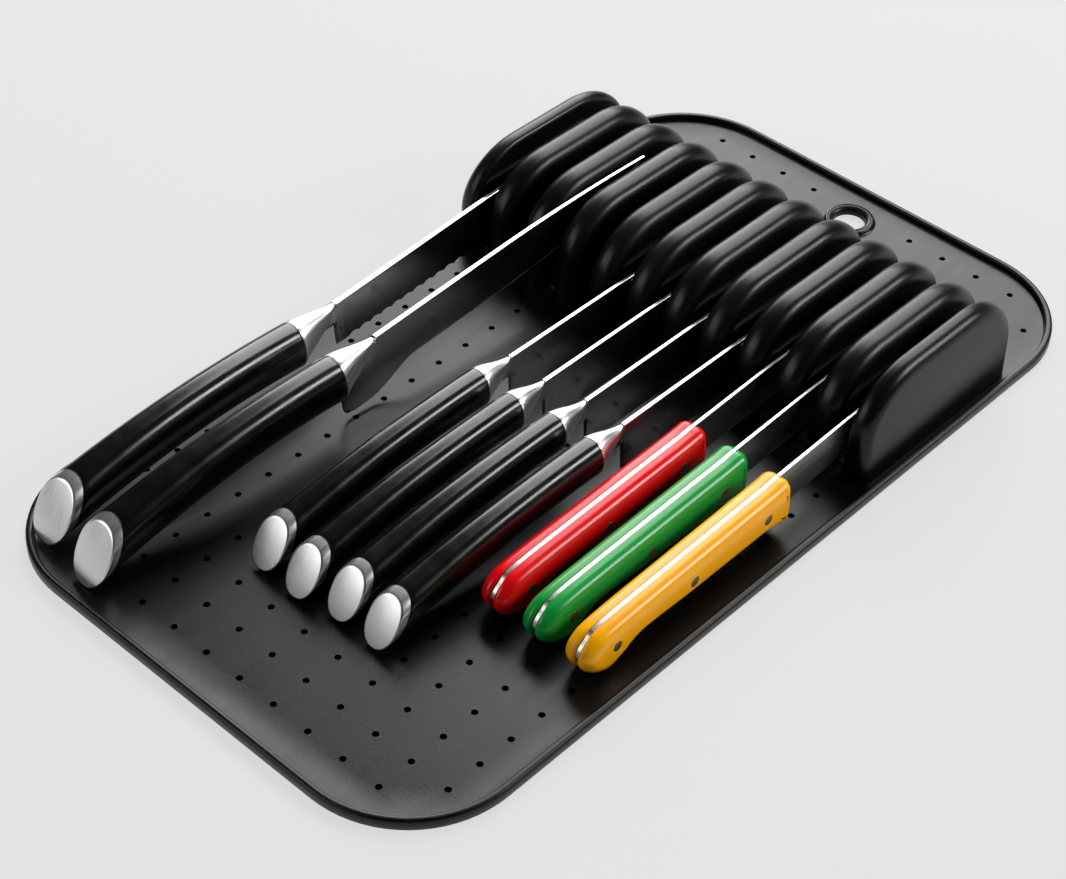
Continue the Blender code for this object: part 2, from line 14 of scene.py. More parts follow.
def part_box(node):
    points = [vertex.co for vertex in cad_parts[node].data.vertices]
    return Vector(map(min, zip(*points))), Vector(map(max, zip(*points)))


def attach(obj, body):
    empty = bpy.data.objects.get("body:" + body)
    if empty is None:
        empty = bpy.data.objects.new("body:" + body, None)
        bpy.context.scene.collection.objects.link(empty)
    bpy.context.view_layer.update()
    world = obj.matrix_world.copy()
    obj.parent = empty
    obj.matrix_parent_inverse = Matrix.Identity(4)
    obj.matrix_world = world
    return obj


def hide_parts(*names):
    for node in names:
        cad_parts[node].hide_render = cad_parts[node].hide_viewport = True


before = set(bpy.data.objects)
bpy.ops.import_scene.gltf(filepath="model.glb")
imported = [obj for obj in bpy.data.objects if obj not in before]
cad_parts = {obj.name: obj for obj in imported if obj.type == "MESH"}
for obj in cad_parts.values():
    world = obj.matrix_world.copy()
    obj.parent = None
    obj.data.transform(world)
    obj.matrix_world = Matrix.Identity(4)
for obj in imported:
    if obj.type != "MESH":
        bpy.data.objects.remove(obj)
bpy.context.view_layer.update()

MM = 0.001

# ---------------------------------------------------------------- sizes shared with the solid model
MAT_THICKNESS = 2.0
MAT_CORNER_RADIUS = 43
EYELET_HOLE_RADIUS = 6.6
EYELET_HOLE_PLAY = 0.8
EYELET_RING_RADIUS = 10.0
EYELET_X, EYELET_FROM_BACK = 2.0, 20

# the mat's dots: small pits on a grid, left out near the edge, the block and the eyelet
DOT_RADIUS, DOT_FLOOR, DOT_CUTTER_LENGTH = 1.25, 0.3, 6.0
DOT_COLUMNS, DOT_ROWS = 12, 25
DOT_ACROSS, DOT_ALONG = 16.0, 14.126
DOT_SHIFT_X, DOT_SHIFT_Y = 2.8, 1.812
DOT_FROM_EDGE, DOT_FROM_BLOCK, DOT_FROM_EYELET = 8.0, 3, 14.0

SLOT_COUNT = 11
RIB_PITCH = 17.5
RIB_TOP, RIB_BASE = 11.3, 12.7
END_RIB_TOP, END_RIB_BASE = 7.8, 10.1
RIB_FRONT, RIB_REAR = 44.0, 133.5
RIB_FOOT, RIB_CROWN = 2.3, 43.0
RIB_FRONT_ROUND, RIB_REAR_ROUND = (28, 23), (29.5, 25)
RIB_ROUNDING, END_RIB_INNER_ROUNDING, END_RIB_OUTER_ROUNDING = 5.2, 2.6, 4.9

WEB_SETBACK, WEB_END_INSET = 5.0, 1.5

BUTT_SLANT = radians(33)
BOLSTER_SLANT = radians(34)
BOLSTER_START = -0.9
CAP_ROUNDING, CAP_DOME = 0.8, 0.5

# handle, bolster and cap lengths; seam and butt are (top, height, width) of the oval at the bolster
# and at the butt; front is (height, width) of the bolster where it meets the blade
LARGE = dict(handle=134, bolster=21.5, cap=4.6, seam=(3.1, 19, 14), butt=(2.6, 20.4, 17.2),
             arch=3.3, waist=1.0, front=(8.0, 3.4), tang_bottom=-9.6, spine=2.4)
MEDIUM = LARGE | dict(handle=129.4, bolster=20, butt=(0.9, 20.4, 17.2))
SMALL = dict(handle=115.3, bolster=16.4, cap=4.3, seam=(3.4, 15.5, 11.6), butt=(-3.4, 16.8, 13.8),
             arch=1.9, waist=0.6, front=(6.5, 2.8), tang_bottom=-8.0, spine=1.8)

# length and height at the heel; widening is how far the spine rises towards the tip
BREAD_BLADE = dict(length=163, height=20.3, widening=2.0, tip="round", scallop=5.7)
BONING_BLADE = dict(length=143, height=20.5, widening=0.0, tip="point", heel_drop=7.4,
                    heel_back=17.5, heel_length=13, heel_sweep=24)
UTILITY_BLADE = dict(length=119, height=22, widening=0.0, tip="point")
PARING_BLADE = dict(length=84, height=17, widening=0.0, tip="point")
BEVEL, SCALLOP_BEVEL, SCALLOP_DEPTH, SCALLOP_START = 1.1, 2.6, 1.15, 4
HEEL_LIFT, HEEL_LIFT_REACH = 3.0, 3.0
ROOT_TOP, HEEL_ROOT_START = -1.5, -12
TANG_BOTTOM = -6.0

# name, slot, style, blade, start of the spine (y, height above the mat), side shift, yaw, nose-up
FORGED_KNIVES = (
    ("bread_knife", 1, LARGE, BREAD_BLADE, -34, 23.0, 2.4, -1.2, 2.0),
    ("boning_knife", 3, MEDIUM, BONING_BLADE, -43, 30.0, -2.6, 0.75, 4.3),
    ("steak_knife_1", 5, SMALL, UTILITY_BLADE, -11.3, 24.0, -0.5, 0.9, 1.1),
    ("steak_knife_2", 6, SMALL, UTILITY_BLADE, -12.3, 24.0, -0.5, 0.9, 1.1),
    ("steak_knife_3", 7, SMALL, UTILITY_BLADE, -9.6, 24.0, -0.5, 0.9, 1.1),
    ("steak_knife_4", 8, SMALL, UTILITY_BLADE, -9.9, 24.0, -0.5, 0.9, 1.1),
)
# name, slot, start of the spine (y, height above the mat), side shift, yaw, nose-up
PARING_KNIVES = (
    ("red_paring_knife", 9, 8.0, 22.9, -1.0, 0.0, 2.4),
    ("green_paring_knife", 10, 8.5, 22.9, -0.3, 0.0, 2.4),
    ("yellow_paring_knife", 11, 8.5, 22.9, 1.0, 0.0, 2.4),
)
PARING_LENGTH, PARING_WIDTH, PARING_TANG = 103.5, 12.6, 1.6
PARING_ROUNDING = 4.6
LOBE_ROUNDING, SEAM_ROUNDING, TANG_SETBACK = 1.5, 0.18, 1.1
RIVET_RADIUS, RIVET_DROP, RIVET_AT = 2.5, 8.2, (0.12, 0.49, 0.86)
RIVET_SIDES = 28
# radius, and height over the scale's face
RIVET_HEAD = ((0.02, 0.12), (1.5, 0.10), (2.05, 0.02), (2.15, -0.10), (2.3, 0.0), (RIVET_RADIUS, -0.12),
              (RIVET_RADIUS, -0.6))


# ---------------------------------------------------------------- nodes and colours
def linear(code):
    """An sRGB hex colour as linear RGBA."""
    parts = [int(code[k:k + 2], 16) / 255 for k in (1, 3, 5)]
    return (*(c / 12.92 if c <= 0.04045 else ((c + 0.055) / 1.055) ** 2.4 for c in parts), 1.0)


def add(tree, kind, inputs=None, **settings):
    """Adds a node with its settings; an input is a constant or the socket that feeds it."""
    node = tree.nodes.new(kind)
    for name, value in settings.items():
        setattr(node, name, value)
    for name, value in (inputs or {}).items():
        if isinstance(value, bpy.types.NodeSocket):
            tree.links.new(value, node.inputs[name])
        else:
            node.inputs[name].default_value = value
    return node


def new_material(name):
    made = bpy.data.materials.new(name)
    made.use_nodes = True
    made.node_tree.nodes.clear()
    return made, made.node_tree


def finish_material(tree, shader):
    add(tree, "ShaderNodeOutputMaterial", {"Surface": shader.outputs[0]})


def ramp(tree, factor, low, high, low_value, high_value):
    return add(tree, "ShaderNodeMapRange", {"Value": factor, "From Min": low, "From Max": high,
                                            "To Min": low_value, "To Max": high_value}).outputs["Result"]


def per_length(*millimetres):
    """Noise scales that give features of these sizes along X, Y and Z."""
    return tuple(1 / (size * MM) for size in millimetres)


def moulded_black_rubber():
    """Nitrile rubber pressed in a spark-eroded mould: a fine pebbled grain that spreads highlights to
    a soft satin, with faint flow streaks and cloudy patches that vary the sheen."""
    made, tree = new_material("moulded_black_rubber")
    place = add(tree, "ShaderNodeTexCoord").outputs["Object"]
    # mould grain of about 0.4 mm, drawn at 0.9 mm so that it shows
    grain = add(tree, "ShaderNodeTexNoise", {"Vector": place, "Scale": 1 / (0.9 * MM), "Detail": 3.0,
                                             "Roughness": 0.6}).outputs["Fac"]
    # flow streaks 60 mm long and 4 mm apart, at 8 degrees to the mat's length
    drawn = add(tree, "ShaderNodeMapping", {"Vector": place, "Rotation": (0, 0, radians(8)),
                                            "Scale": per_length(4, 60, 20)}).outputs["Vector"]
    streaks = add(tree, "ShaderNodeTexNoise", {"Vector": drawn, "Scale": 1.0, "Detail": 4.0}).outputs["Fac"]
    # cloudy patches of 35 mm
    patches = add(tree, "ShaderNodeTexNoise", {"Vector": place, "Scale": 1 / (35 * MM),
                                               "Detail": 2.0}).outputs["Fac"]
    mixed = add(tree, "ShaderNodeMath", {0: streaks, 1: patches}, operation="ADD").outputs[0]
    rough = ramp(tree, mixed, 0.7, 1.3, 0.27, 0.36)
    tint = add(tree, "ShaderNodeMix", {"Factor": ramp(tree, mixed, 0.7, 1.3, 0.0, 1.0),
                                       "A": linear("#050506"), "B": linear("#0b0b0c")}, data_type="RGBA")
    bump = add(tree, "ShaderNodeBump", {"Height": grain, "Strength": 0.30, "Distance": 0.10 * MM})
    shader = add(tree, "ShaderNodeBsdfPrincipled", {"Base Color": tint.outputs["Result"], "Roughness": rough,
                                                    "Normal": bump.outputs["Normal"], "IOR": 1.52,
                                                    "Specular IOR Level": 0.24})
    finish_material(tree, shader)
    return made


def polished_black_acetal():
    """Acetal handle, moulded and buffed: deep black, with mirror-like bands slightly softened by haze."""
    made, tree = new_material("polished_black_acetal")
    place = add(tree, "ShaderNodeTexCoord").outputs["Object"]
    haze = add(tree, "ShaderNodeTexNoise", {"Vector": place, "Scale": 1 / (6 * MM),
                                            "Detail": 4.0}).outputs["Fac"]
    fine = add(tree, "ShaderNodeTexNoise", {"Vector": place, "Scale": 1 / (1.2 * MM),
                                            "Detail": 2.0}).outputs["Fac"]
    bump = add(tree, "ShaderNodeBump", {"Height": fine, "Strength": 0.06, "Distance": 0.05 * MM})
    shader = add(tree, "ShaderNodeBsdfPrincipled", {"Base Color": linear("#050506"),
                                                    "Roughness": ramp(tree, haze, 0.3, 0.7, 0.17, 0.25),
                                                    "Normal": bump.outputs["Normal"], "IOR": 1.48})
    finish_material(tree, shader)
    return made


def brushed_steel(name, colour, spacing, rough_low, rough_high, depth):
    """Stainless steel ground on a belt: hairlines that run along one direction and stretch highlights.
    spacing is the mean distance between lines along X, Y and Z in millimetres."""
    made, tree = new_material(name)
    place = add(tree, "ShaderNodeTexCoord").outputs["Object"]
    drawn = add(tree, "ShaderNodeMapping", {"Vector": place, "Scale": per_length(*spacing)}).outputs["Vector"]
    lines = add(tree, "ShaderNodeTexNoise", {"Vector": drawn, "Scale": 1.0, "Detail": 3.0,
                                             "Roughness": 0.7}).outputs["Fac"]
    bump = add(tree, "ShaderNodeBump", {"Height": lines, "Strength": depth, "Distance": 0.08 * MM})
    rough = ramp(tree, lines, 0.3, 0.7, rough_low, rough_high)
    shader = add(tree, "ShaderNodeBsdfPrincipled", {"Base Color": linear(colour), "Metallic": 1.0,
                                                    "Roughness": rough, "Normal": bump.outputs["Normal"]})
    finish_material(tree, shader)
    return made


def glossy_moulded_plastic(name, colour, deep):
    """Injection-moulded nylon handle: saturated colour with a glassy skin and a trace of flow marks."""
    made, tree = new_material(name)
    place = add(tree, "ShaderNodeTexCoord").outputs["Object"]
    flow = add(tree, "ShaderNodeMapping", {"Vector": place, "Scale": per_length(5, 30, 5)})
    marks = add(tree, "ShaderNodeTexNoise", {"Vector": flow.outputs["Vector"], "Scale": 1.0,
                                             "Detail": 2.0}).outputs["Fac"]
    tint = add(tree, "ShaderNodeMix", {"Factor": ramp(tree, marks, 0.35, 0.75, 0.0, 0.5),
                                       "A": linear(colour), "B": linear(deep)}, data_type="RGBA")
    skin = add(tree, "ShaderNodeTexNoise", {"Vector": place, "Scale": 1 / (2.5 * MM),
                                            "Detail": 2.0}).outputs["Fac"]
    bump = add(tree, "ShaderNodeBump", {"Height": skin, "Strength": 0.08, "Distance": 0.06 * MM})
    shader = add(tree, "ShaderNodeBsdfPrincipled", {"Base Color": tint.outputs["Result"],
                                                    "Roughness": ramp(tree, marks, 0.3, 0.7, 0.20, 0.28),
                                                    "Normal": bump.outputs["Normal"], "IOR": 1.53,
                                                    "Specular IOR Level": 0.36})
    finish_material(tree, shader)
    return made


def studio_board():
    """Matt white board, lit evenly from below as in a packshot studio, so that it stays pale and plain."""
    made, tree = new_material("studio_board")
    shader = add(tree, "ShaderNodeBsdfPrincipled", {"Base Color": linear("#5a5a5a"), "Roughness": 0.95,
                                                    "Specular IOR Level": 0.1,
                                                    "Emission Color": linear("#ffffff"),
                                                    "Emission Strength": 0.66})
    finish_material(tree, shader)
    return made


RUBBER = moulded_black_rubber()
ACETAL = polished_black_acetal()
# name, colour, line spacing, lowest and highest roughness, bump strength
BLADE_STEEL = brushed_steel("ground_blade_steel", "#c4c4c6", (3.0, 0.5, 14.0), 0.16, 0.22, 0.02)
CAP_STEEL = brushed_steel("brushed_cap_steel", "#dcdcdd", (0.4, 9.0, 7.0), 0.27, 0.36, 0.012)
TANG_STEEL = brushed_steel("ground_tang_steel", "#b9b9b4", (3.0, 12.0, 0.4), 0.26, 0.36, 0.03)
RIVET_BRASS = brushed_steel("ground_rivet_brass", "#8d7d5c", (0.6, 0.6, 0.6), 0.30, 0.46, 0.15)
RED = glossy_moulded_plastic("red_moulded_nylon", "#e60410", "#d2020c")
GREEN = glossy_moulded_plastic("green_moulded_nylon", "#0f9a3c", "#08822f")
YELLOW = glossy_moulded_plastic("yellow_moulded_nylon", "#ffb000", "#f7a000")


# ---------------------------------------------------------------- mesh helpers
def mesh_from(bm, name):
    mesh = bpy.data.meshes.new(name)
    bm.to_mesh(mesh)
    bm.free()
    return mesh


def linked(name, data):
    """A new object in the scene."""
    obj = bpy.data.objects.new(name, data)
    bpy.context.scene.collection.objects.link(obj)
    return obj


def object_from(bm, name):
    """Turns a mesh in millimetres into a helper object in metres."""
    bmesh.ops.scale(bm, verts=bm.verts, vec=(MM, MM, MM))
    return linked(name, mesh_from(bm, name))


def take_in(bm, other, name):
    """Adds the other mesh to the first."""
    bm.from_mesh(mesh_from(other, name))


def piece_from(bm, name, material, body, replaced=(), sharp=35):
    """Turns a mesh in millimetres into a finished piece in metres, riding on its body."""
    bmesh.ops.remove_doubles(bm, verts=bm.verts, dist=1e-4)
    bmesh.ops.recalc_face_normals(bm, faces=bm.faces)
    bmesh.ops.scale(bm, verts=bm.verts, vec=(MM, MM, MM))
    return finish_piece(name, mesh_from(bm, name), material, body, replaced, sharp)


def finish_piece(name, mesh, material, body, replaced=(), sharp=35):
    mesh.shade_smooth()
    mesh.set_sharp_from_angle(angle=radians(sharp))
    if not mesh.materials:
        mesh.materials.append(material)
    obj = linked(name, mesh)
    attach(obj, body)
    if replaced:
        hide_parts(*replaced)
    return obj


def evaluated_mesh(obj):
    bpy.context.view_layer.update()
    return bpy.data.meshes.new_from_object(obj.evaluated_get(bpy.context.evaluated_depsgraph_get()))


def loft(rings, bm=None):
    """A closed skin through rings that have the same number of points."""
    bm = bm or bmesh.new()
    rows = [[bm.verts.new(point) for point in ring] for ring in rings]
    count = len(rows[0])
    for near, far in zip(rows, rows[1:]):
        for k in range(count):
            after = (k + 1) % count
            bm.faces.new((near[k], near[after], far[after], far[k]))
    bm.faces.new(rows[0])
    bm.faces.new(rows[-1])
    return bm


def blend(start, end, t):
    return start + (end - start) * t


def ease(t):
    return t * t * (3 - 2 * t)


def oval_ring(y, top, height, width, slant=0.0, power=2.3, inset=0.0, count=72):
    """A superellipse across the handle; slant leans it so that its top lies further forward."""
    ring = []
    middle = top - height / 2
    height, width = height - 2 * inset, width - 2 * inset
    for k in range(count):
        angle = 2 * pi * (k + 0.5) / count
        across, up = cos(angle), sin(angle)
        x = width / 2 * abs(across) ** (2 / power) * (1 if across > 0 else -1)
        z = height / 2 * abs(up) ** (2 / power) * (1 if up > 0 else -1)
        ring.append((x, y + z * tan(slant), middle + z))
    return ring


def new_geometry_tree(name, sockets):
    """A node group from one geometry to another, with more inputs given as (name, kind). Returns the
    group, its inputs' sockets, and the identifier of each added input."""
    tree = bpy.data.node_groups.new(name, "GeometryNodeTree")
    face = tree.interface
    face.new_socket("Geometry", in_out="INPUT", socket_type="NodeSocketGeometry")
    keys = {label: face.new_socket(label, in_out="INPUT", socket_type="NodeSocket" + kind).identifier
            for label, kind in sockets}
    face.new_socket("Geometry", in_out="OUTPUT", socket_type="NodeSocketGeometry")
    return tree, add(tree, "NodeGroupInput").outputs, keys


def finish_geometry_tree(tree, geometry, material):
    finished = add(tree, "GeometryNodeSetMaterial", {"Geometry": geometry, "Material": material})
    add(tree, "NodeGroupOutput", {0: finished.outputs[0]})


# ---------------------------------------------------------------- mat
def rounded_rectangle(width, length, radius, steps=18):
    outline = []
    for corner, (side_x, side_y) in enumerate(((1, 1), (-1, 1), (-1, -1), (1, -1))):
        centre = Vector((side_x * (width / 2 - radius), side_y * (length / 2 - radius)))
        for step in range(steps + 1):
            angle = pi / 2 * (corner + step / steps)
            outline.append(centre + radius * Vector((cos(angle), sin(angle))))
    return outline


# rim section: distance in from the outer edge, and height
RIM_SECTION = ((0.9, 0.0), (0.3, 0.12), (0.0, 0.6), (0.0, 3.5), (0.18, 4.1), (0.55, 4.48), (1.0, 4.6),
               (1.6, 4.6), (2.15, 4.5), (2.55, 4.2), (2.78, 3.7), (2.86, 3.0), (2.95, 2.45), (3.2, 2.12),
               (3.7, MAT_THICKNESS))
# eyelet ring section: distance out from the ring's radius, and height
EYELET_RING_SECTION = ((-3.6, 0.4), (-3.6, 2.4), (-3.2, 3.1), (-2.5, 3.55), (-1.9, 3.75), (-1.6, 3.55),
                       (-1.3, 3.55), (-1.0, 3.75), (-0.5, 3.6), (-0.1, 3.1), (0.0, 2.4), (0.25, 2.1),
                       (0.6, 1.9), (0.2, 0.4))
EYELET_RING_STEPS = 64


def perforation_tree():
    """Small pits on a regular grid, kept off the block, the corners and the eyelet."""
    lengths = ("Hole Radius", "Across", "Along", "Offset X", "Offset Y", "Half Width", "Half Length", "Corner",
               "Edge Margin", "Block Front", "Block Rear", "Eyelet X", "Eyelet Y", "Eyelet Radius",
               "Pin Length", "Floor")
    tree, given, keys = new_geometry_tree("Mat perforations", [(name, "Float") for name in lengths]
                                          + [("Columns", "Int"), ("Rows", "Int"), ("Material", "Material")])

    def maths(operation, *values):
        return add(tree, "ShaderNodeMath", dict(enumerate(values)), operation=operation).outputs[0]

    def span(count, spacing):
        return maths("MULTIPLY", maths("SUBTRACT", given[count], 1.0), given[spacing])

    def distance(across, along):
        return maths("SQRT", maths("ADD", maths("POWER", across, 2.0), maths("POWER", along, 2.0)))

    grid = add(tree, "GeometryNodeMeshGrid", {"Size X": span("Columns", "Across"),
                                              "Size Y": span("Rows", "Along"),
                                              "Vertices X": given["Columns"], "Vertices Y": given["Rows"]})
    offset = add(tree, "ShaderNodeCombineXYZ", {"X": given["Offset X"], "Y": given["Offset Y"]})
    moved = add(tree, "GeometryNodeSetPosition", {"Geometry": grid.outputs["Mesh"],
                                                  "Offset": offset.outputs[0]})
    position = add(tree, "GeometryNodeInputPosition").outputs[0]
    place = add(tree, "ShaderNodeSeparateXYZ", {0: position}).outputs
    # outside the rounded rectangle that lies a margin inside the mat's edge
    beyond = [maths("MAXIMUM", maths("SUBTRACT", maths("ABSOLUTE", place[axis]),
                                     maths("SUBTRACT", given[half], given["Corner"])), 0.0)
              for axis, half in (("X", "Half Width"), ("Y", "Half Length"))]
    outside = maths("GREATER_THAN", distance(*beyond),
                    maths("SUBTRACT", given["Corner"], given["Edge Margin"]))
    under_block = maths("MULTIPLY", maths("GREATER_THAN", place["Y"], given["Block Front"]),
                        maths("LESS_THAN", place["Y"], given["Block Rear"]))
    from_eyelet = distance(maths("SUBTRACT", place["X"], given["Eyelet X"]),
                           maths("SUBTRACT", place["Y"], given["Eyelet Y"]))
    at_eyelet = maths("LESS_THAN", from_eyelet, given["Eyelet Radius"])
    unwanted = maths("GREATER_THAN", maths("ADD", outside, maths("ADD", under_block, at_eyelet)), 0.5)
    kept = add(tree, "GeometryNodeDeleteGeometry", {"Geometry": moved.outputs[0], "Selection": unwanted},
               domain="POINT")
    dots = add(tree, "GeometryNodeMeshToPoints", {"Mesh": kept.outputs[0]})
    pin = add(tree, "GeometryNodeMeshCylinder", {"Vertices": 14, "Radius": given["Hole Radius"],
                                                 "Depth": given["Pin Length"]})
    lift = add(tree, "ShaderNodeCombineXYZ", {"Z": maths("ADD", maths("MULTIPLY", given["Pin Length"], 0.5),
                                                         given["Floor"])})
    raised = add(tree, "GeometryNodeTransform", {"Geometry": pin.outputs["Mesh"],
                                                 "Translation": lift.outputs[0]})
    pins = add(tree, "GeometryNodeInstanceOnPoints", {"Points": dots.outputs[0],
                                                      "Instance": raised.outputs[0]})
    solid = add(tree, "GeometryNodeRealizeInstances", {"Geometry": pins.outputs[0]})
    pierced = add(tree, "GeometryNodeMeshBoolean", operation="DIFFERENCE", solver="EXACT")
    tree.links.new(given["Geometry"], pierced.inputs[0])
    tree.links.new(solid.outputs[0], pierced.inputs[1])
    finish_geometry_tree(tree, pierced.outputs["Mesh"], given["Material"])
    return tree, keys


def build_mat():
    low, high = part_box("mat")
    width, length = (high.x - low.x) / MM, (high.y - low.y) / MM
    rings = []
    for inset, z in RIM_SECTION:
        outline = rounded_rectangle(width - 2 * inset, length - 2 * inset, MAT_CORNER_RADIUS - inset)
        rings.append([(x, y, z) for x, y in outline])
    bm = loft(rings)
    bmesh.ops.recalc_face_normals(bm, faces=bm.faces)
    blank = object_from(bm, "mat_blank")

    # the eyelet's hole
    eyelet = (EYELET_X, length / 2 - EYELET_FROM_BACK)
    bm = bmesh.new()
    radius = EYELET_HOLE_RADIUS * MM + EYELET_HOLE_PLAY * MM
    bmesh.ops.create_cone(bm, cap_ends=True, segments=56, radius1=radius, radius2=radius, depth=30 * MM,
                          matrix=Matrix.Translation((eyelet[0] * MM, eyelet[1] * MM, 0)))
    punch = linked("punch", mesh_from(bm, "punch"))
    hole = blank.modifiers.new("Eyelet hole", "BOOLEAN")
    hole.operation, hole.object, hole.solver = "DIFFERENCE", punch, "EXACT"

    tree, keys = perforation_tree()
    holes = blank.modifiers.new("Perforations", "NODES")
    holes.node_group = tree
    lengths = {"Hole Radius": DOT_RADIUS, "Across": DOT_ACROSS, "Along": DOT_ALONG, "Offset X": DOT_SHIFT_X,
               "Offset Y": DOT_SHIFT_Y, "Half Width": width / 2, "Half Length": length / 2,
               "Corner": MAT_CORNER_RADIUS, "Edge Margin": DOT_FROM_EDGE,
               "Block Front": RIB_FRONT - DOT_FROM_BLOCK, "Block Rear": RIB_REAR + DOT_FROM_BLOCK,
               "Eyelet X": eyelet[0], "Eyelet Y": eyelet[1], "Eyelet Radius": DOT_FROM_EYELET,
               "Pin Length": DOT_CUTTER_LENGTH, "Floor": DOT_FLOOR}
    for name, value in lengths.items():
        holes[keys[name]] = value * MM
    holes[keys["Columns"]] = DOT_COLUMNS
    holes[keys["Rows"]] = DOT_ROWS
    holes[keys["Material"]] = RUBBER
    pierced = evaluated_mesh(blank)
    bpy.data.objects.remove(blank)
    bpy.data.objects.remove(punch)
    finish_piece("perforated_mat", pierced, RUBBER, "holder", ("mat",))

    # raised ring round the eyelet, with a fine groove on its crown
    bm = bmesh.new()
    rows = []
    for step in range(EYELET_RING_STEPS):
        angle = 2 * pi * step / EYELET_RING_STEPS
        rows.append([bm.verts.new((eyelet[0] + (EYELET_RING_RADIUS + out) * cos(angle),
                                   eyelet[1] + (EYELET_RING_RADIUS + out) * sin(angle), z))
                     for out, z in EYELET_RING_SECTION])
    for k, near in enumerate(rows):
        far = rows[(k + 1) % len(rows)]
        for j in range(len(near)):
            after = (j + 1) % len(near)
            bm.faces.new((near[j], near[after], far[after], far[j]))
    piece_from(bm, "eyelet_ring", RUBBER, "holder", sharp=30)


# ---------------------------------------------------------------- rib block
# web section: distance in from its edge, and height
WEB_SECTION = ((0, 1.8), (0, 2.6), (0.12, 2.95), (0.35, 3.2), (0.7, 3.3))


def rib_path(steps=26):
    """Side view of a rib from its front foot, over the crown, to its rear foot."""
    path = [(RIB_FRONT, blend(RIB_FOOT, RIB_CROWN - RIB_FRONT_ROUND[1], k / 4)) for k in range(4)]
    across, down = RIB_FRONT_ROUND
    for step in range(steps + 1):
        angle = pi / 2 * step / steps
        path.append((RIB_FRONT + across * (1 - cos(angle)), RIB_CROWN - down * (1 - sin(angle))))
    across, down = RIB_REAR_ROUND
    for step in range(steps + 1):
        angle = pi / 2 * step / steps
        path.append((RIB_REAR - across * (1 - sin(angle)), RIB_CROWN - down * (1 - cos(angle))))
    path += [(RIB_REAR, blend(RIB_CROWN - RIB_REAR_ROUND[1], RIB_FOOT, k / 4)) for k in range(1, 5)]
    return path


def inward(path):
    """Unit directions that point into the shape whose edge runs along the path, clockwise in (y, z)."""
    directions = []
    for k in range(len(path)):
        before, after = path[max(k - 1, 0)], path[min(k + 1, len(path) - 1)]
        along = Vector((after[0] - before[0], after[1] - before[1])).normalized()
        directions.append(Vector((along.y, -along.x)))
    return directions


def rib_bmesh(left, right, steps=8):
    """One rib; each side is its x at the base and at the top, and the rounding of its crest."""
    path = rib_path()
    directions = inward(path)
    section = []
    for step in range(steps + 1):
        angle = pi / 2 * step / steps
        section.append((left, left[2] * (1 - cos(angle)), left[2] * (1 - sin(angle)), 1))
    for step in range(steps, -1, -1):
        angle = pi / 2 * step / steps
        section.append((right, right[2] * (1 - cos(angle)), right[2] * (1 - sin(angle)), -1))
    bm = bmesh.new()
    rows = []
    for side, across, inset, sign in section:
        row = []
        for (y, z), direction in zip(path, directions):
            y, z = y + inset * direction.x, z + inset * direction.y
            x = blend(side[0], side[1], (z - RIB_FOOT) / (RIB_CROWN - RIB_FOOT)) + sign * across
            row.append(bm.verts.new((x, y, z)))
        rows.append(row)
    for near, far in zip(rows, rows[1:]):
        for k in range(len(path) - 1):
            bm.faces.new((near[k], near[k + 1], far[k + 1], far[k]))
    bm.faces.new(rows[0])
    bm.faces.new(rows[-1])
    bm.faces.new([row[0] for row in rows] + [row[-1] for row in reversed(rows)])
    bmesh.ops.recalc_face_normals(bm, faces=bm.faces)
    return bm


def rib_row_tree():
    """Repeats the object's rib across the block and joins the end ribs and the web to the row."""
    tree, given, keys = new_geometry_tree("Rib row", (("Ribs", "Int"), ("Pitch", "Float"), ("Ends", "Object"),
                                                      ("Material", "Material")))
    last = add(tree, "ShaderNodeMath", {0: given["Ribs"], 1: -1.0}, operation="ADD").outputs[0]
    span = add(tree, "ShaderNodeMath", {0: last, 1: given["Pitch"]}, operation="MULTIPLY").outputs[0]
    start = add(tree, "ShaderNodeMath", {0: span, 1: -0.5}, operation="MULTIPLY").outputs[0]
    at = add(tree, "ShaderNodeCombineXYZ", {"X": start}).outputs[0]
    step = add(tree, "ShaderNodeCombineXYZ", {"X": given["Pitch"]}).outputs[0]
    line = add(tree, "GeometryNodeMeshLine", {"Count": given["Ribs"], "Start Location": at, "Offset": step},
               mode="OFFSET")
    row = add(tree, "GeometryNodeInstanceOnPoints", {"Points": line.outputs[0],
                                                     "Instance": given["Geometry"]})
    ends = add(tree, "GeometryNodeObjectInfo", {"Object": given["Ends"]}, transform_space="ORIGINAL")
    joined = add(tree, "GeometryNodeJoinGeometry")
    for part in (row.outputs[0], ends.outputs["Geometry"]):
        tree.links.new(part, joined.inputs[0])
    solid = add(tree, "GeometryNodeRealizeInstances", {"Geometry": joined.outputs[0]})
    finish_geometry_tree(tree, solid.outputs[0], given["Material"])
    return tree, keys


